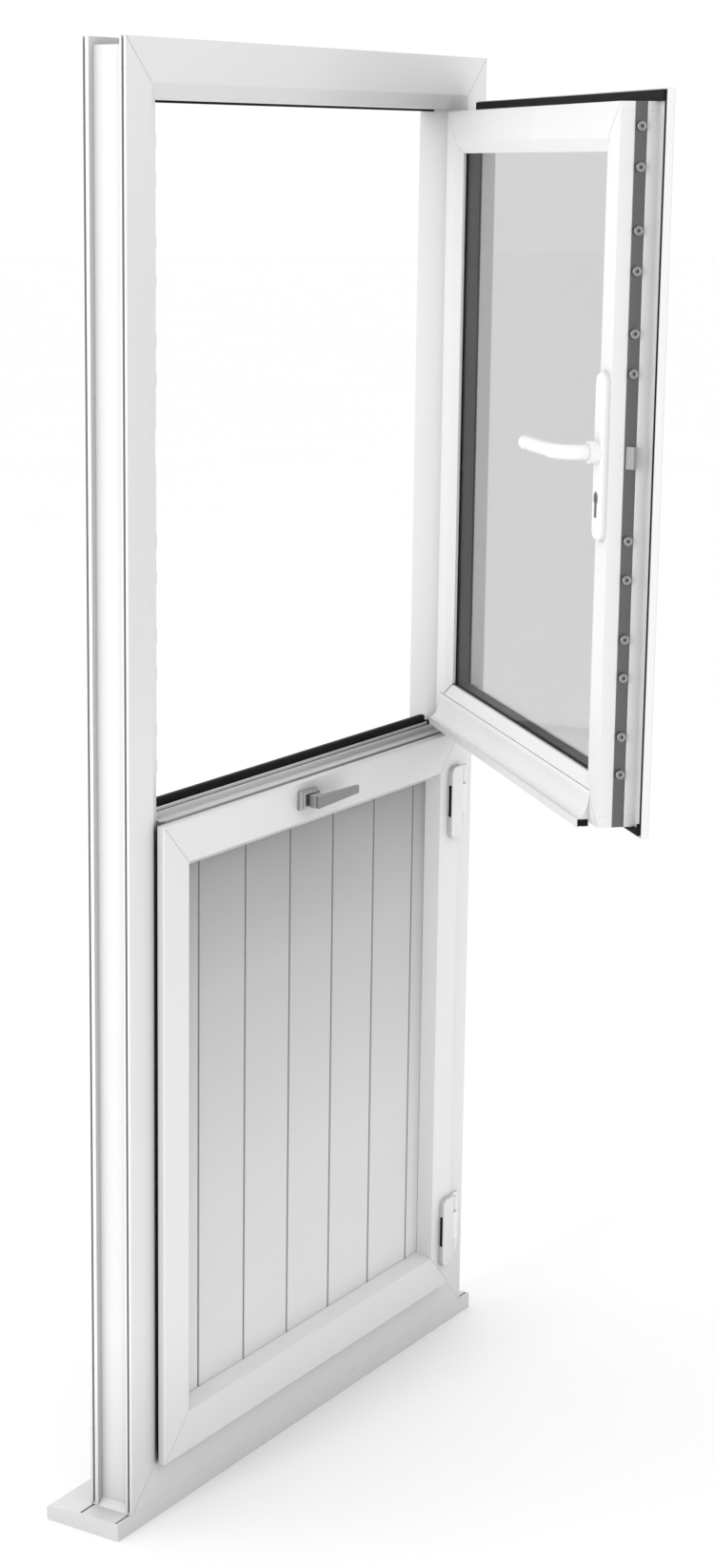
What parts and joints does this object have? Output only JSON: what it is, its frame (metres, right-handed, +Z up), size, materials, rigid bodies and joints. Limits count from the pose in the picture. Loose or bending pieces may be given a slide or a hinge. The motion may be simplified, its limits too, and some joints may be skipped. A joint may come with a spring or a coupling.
{
  "type": "dutch stable door",
  "caption": "Stable door with frame and projecting cill: a boarded lower leaf and a glazed upper leaf open inwards on one hinge line, each with its own lock.",
  "frame": {"origin": "middle of the frame in width and depth, on the underside of the cill", "axes": "+X to the hinge side as seen from the room, +Y from the room to the outside, +Z up"},
  "size_m": [0.991, 0.7182, 2],
  "materials": {
    "profile": "smooth white plastic, satin gloss",
    "board": "smooth white plastic boards",
    "seal": "black rubber seal",
    "core_steel": "galvanised tube",
    "lock_steel": "plated steel",
    "handle_metal": "satin silver",
    "handle_white": "white coated metal",
    "edge_metal": "dull grey plate",
    "key_metal": "dark nickel",
    "pane": "clear glass",
    "spacer": "dull grey spacer bar"
  },
  "bodies": {
    "frame": {"frame_head": "profile", "frame_jamb_lock": "profile", "frame_jamb_hinge": "profile", "frame_threshold": "profile", "frame_seal": "seal", "frame_steel_lock": "core_steel", "frame_steel_hinge": "core_steel", "cill": "profile", "cill_cap_lock": "profile", "cill_cap_hinge": "profile", "upper_keep": "lock_steel", "lower_keep": "lock_steel", "upper_hinge_frame_top": "lock_steel", "upper_hinge_frame_bottom": "lock_steel", "lower_hinge_frame_top": "lock_steel", "lower_hinge_frame_bottom": "lock_steel"},
    "lower_leaf": {"lower_rail_top": "profile", "lower_rail_bottom": "profile", "lower_stile_lock": "profile", "lower_stile_hinge": "profile", "lower_bead": "profile", "lower_panel": "board", "lower_gasket": "seal", "meeting_strip": "profile", "meeting_gasket": "seal", "lower_hinge_leaf_top": "lock_steel", "lower_hinge_leaf_bottom": "lock_steel", "lower_cover_top": "profile", "lower_cover_bottom": "profile", "catch_rose": "handle_metal"},
    "catch_lever": {"catch_lever": "handle_metal"},
    "catch_bolt": {"catch_bolt": "lock_steel"},
    "upper_leaf": {"upper_rail_top": "profile", "upper_rail_bottom": "profile", "upper_stile_lock": "profile", "upper_stile_hinge": "profile", "upper_bead": "profile", "pane_inner": "pane", "pane_outer": "pane", "pane_spacer": "spacer", "glazing_gasket": "seal", "upper_gasket": "seal", "rain_deflector": "profile", "edge_plate": "edge_metal", "lock_case": "lock_steel", "plate_outside": "handle_white", "plate_inside": "handle_white", "key_cylinder": "key_metal", "upper_hinge_leaf_top": "lock_steel", "upper_hinge_leaf_bottom": "lock_steel", "upper_cover_top": "profile", "upper_cover_bottom": "profile"},
    "upper_lever": {"lever_outside": "handle_white"},
    "rod_top": {"rod_top": "lock_steel"},
    "rod_bottom": {"rod_bottom": "lock_steel"},
    "latch": {"latch": "lock_steel"}
  },
  "joints": [
    {"name": "lower_leaf_hinge", "type": "hinge", "parent": "frame", "child": "lower_leaf", "pos_m": [0.4175, -0.043, 0.525], "axis": [0, 0, 1], "range_deg": [0, 100]},
    {"name": "catch_lever_turn", "type": "hinge", "parent": "lower_leaf", "child": "catch_lever", "pos_m": [-0.0525, -0.055, 0.965], "axis": [0, 1, 0], "range_deg": [0, 90]},
    {"name": "catch_bolt_slide", "type": "slide", "parent": "lower_leaf", "child": "catch_bolt", "axis": [-1, 0, 0], "range_m": [0, 0.013]},
    {"name": "upper_leaf_hinge", "type": "hinge", "parent": "frame", "child": "upper_leaf", "pos_m": [0.4175, -0.043, 1.475], "axis": [0, 0, 1], "range_deg": [-45.2, 54.8]},
    {"name": "upper_lever_turn", "type": "hinge", "parent": "upper_leaf", "child": "upper_lever", "pos_m": [-0.14544, -0.5776, 1.4945], "axis": [-0.7096, 0.7046, 0], "range_deg": [-40, 40], "stiffness_Nm_per_rad": 4},
    {"name": "rod_top_slide", "type": "slide", "parent": "upper_leaf", "child": "rod_top", "axis": [0, 0, 1], "range_m": [-0.018, 0.018]},
    {"name": "rod_bottom_slide", "type": "slide", "parent": "upper_leaf", "child": "rod_bottom", "axis": [0, 0, 1], "range_m": [-0.018, 0.018]},
    {"name": "latch_slide", "type": "slide", "parent": "upper_leaf", "child": "latch", "axis": [0.7046, 0.7096, 0], "range_m": [0, 0.0075], "stiffness_N_per_m": 300, "springref_m": -0.01}
  ],
  "couplings": [
    {"joint": "catch_bolt_slide", "follows": "catch_lever_turn", "m_per_rad": 0.008276},
    {"joint": "rod_top_slide", "follows": "upper_lever_turn", "m_per_rad": 0.02578},
    {"joint": "rod_bottom_slide", "follows": "upper_lever_turn", "m_per_rad": 0.02578}
  ]
}
